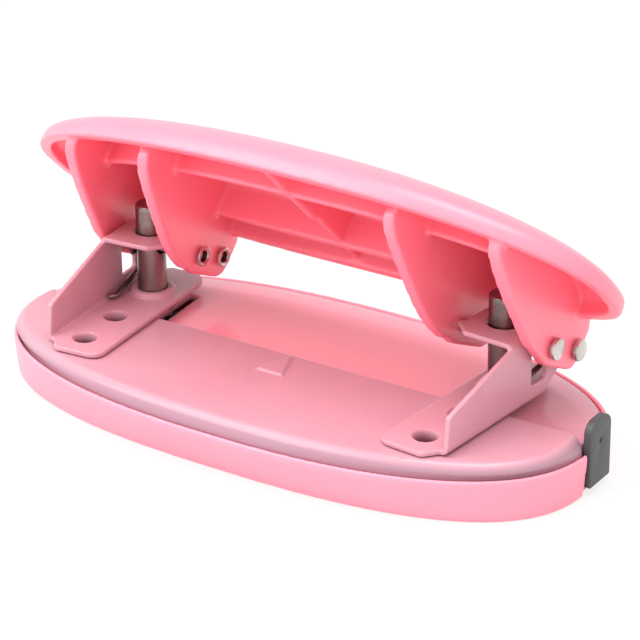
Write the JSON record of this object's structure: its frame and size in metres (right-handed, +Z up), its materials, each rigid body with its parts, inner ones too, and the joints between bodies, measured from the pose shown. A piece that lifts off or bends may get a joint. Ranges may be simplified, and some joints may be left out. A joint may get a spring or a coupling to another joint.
{
  "type": "two-hole punch",
  "caption": "Desk punch for two filing holes: a wide ribbed lever handle drives two punches through brackets on a stepped plate over a chip tray with a sliding paper guide.",
  "frame": {"origin": "midway between the two punch axes, on the plane the tray stands on", "axes": "+X along the two holes towards the paper guide's stop, +Y towards the side the paper enters, +Z up"},
  "size_m": [0.1255, 0.0629, 0.0576],
  "materials": {
    "painted_steel": "semi-gloss dusty pink paint on pressed steel",
    "handle_plastic": "smooth pink moulded plastic",
    "tray_plastic": "light pink moulded plastic, slightly translucent",
    "punch_steel": "ground tool steel",
    "pin_steel": "bright steel with a flat head and a rolled hollow end",
    "spring_steel": "dark oiled spring wire",
    "die_steel": "hardened steel",
    "guide_plastic": "black moulded plastic"
  },
  "bodies": {
    "base": {"base_plate": "painted_steel", "bracket_right": "painted_steel", "bracket_left": "painted_steel", "eyelet_front_right": "painted_steel", "eyelet_front_left": "painted_steel", "eyelet_rear_right": "painted_steel", "eyelet_rear_left": "painted_steel", "die_right": "die_steel", "die_left": "die_steel", "torsion_spring_right": "spring_steel", "torsion_spring_left": "spring_steel"},
    "lever": {"handle": "handle_plastic", "hinge_pin_right": "pin_steel", "hinge_pin_left": "pin_steel", "drive_pin_right": "pin_steel", "drive_pin_left": "pin_steel"},
    "punch_right": {"punch_right": "punch_steel"},
    "punch_left": {"punch_left": "punch_steel"},
    "tray": {"chip_tray": "tray_plastic"},
    "guide": {"guide_ruler": "guide_plastic", "guide_stop": "guide_plastic"}
  },
  "joints": [
    {"name": "handle_press", "type": "hinge", "parent": "base", "child": "lever", "pos_m": [0, 0.00795, 0.0198], "axis": [1, 0, 0], "range_deg": [0, 43.8], "stiffness_Nm_per_rad": 1.2, "springref_deg": -20.05, "deforming": ["torsion_spring_right", "torsion_spring_left"]},
    {"name": "punch_right_stroke", "type": "slide", "parent": "base", "child": "punch_right", "axis": [0, 0, -1], "range_m": [0, 0.0062]},
    {"name": "punch_left_stroke", "type": "slide", "parent": "base", "child": "punch_left", "axis": [0, 0, -1], "range_m": [0, 0.0062]},
    {"name": "tray_pull", "type": "slide", "parent": "base", "child": "tray", "axis": [0, 0, -1], "range_m": [0, 0.012]},
    {"name": "guide_slide", "type": "slide", "parent": "tray", "child": "guide", "axis": [1, 0, 0], "range_m": [0, 0.085]}
  ],
  "couplings": [
    {"joint": "punch_right_stroke", "follows": "handle_press", "m_per_rad": 0.00797},
    {"joint": "punch_left_stroke", "follows": "handle_press", "m_per_rad": 0.00797}
  ]
}
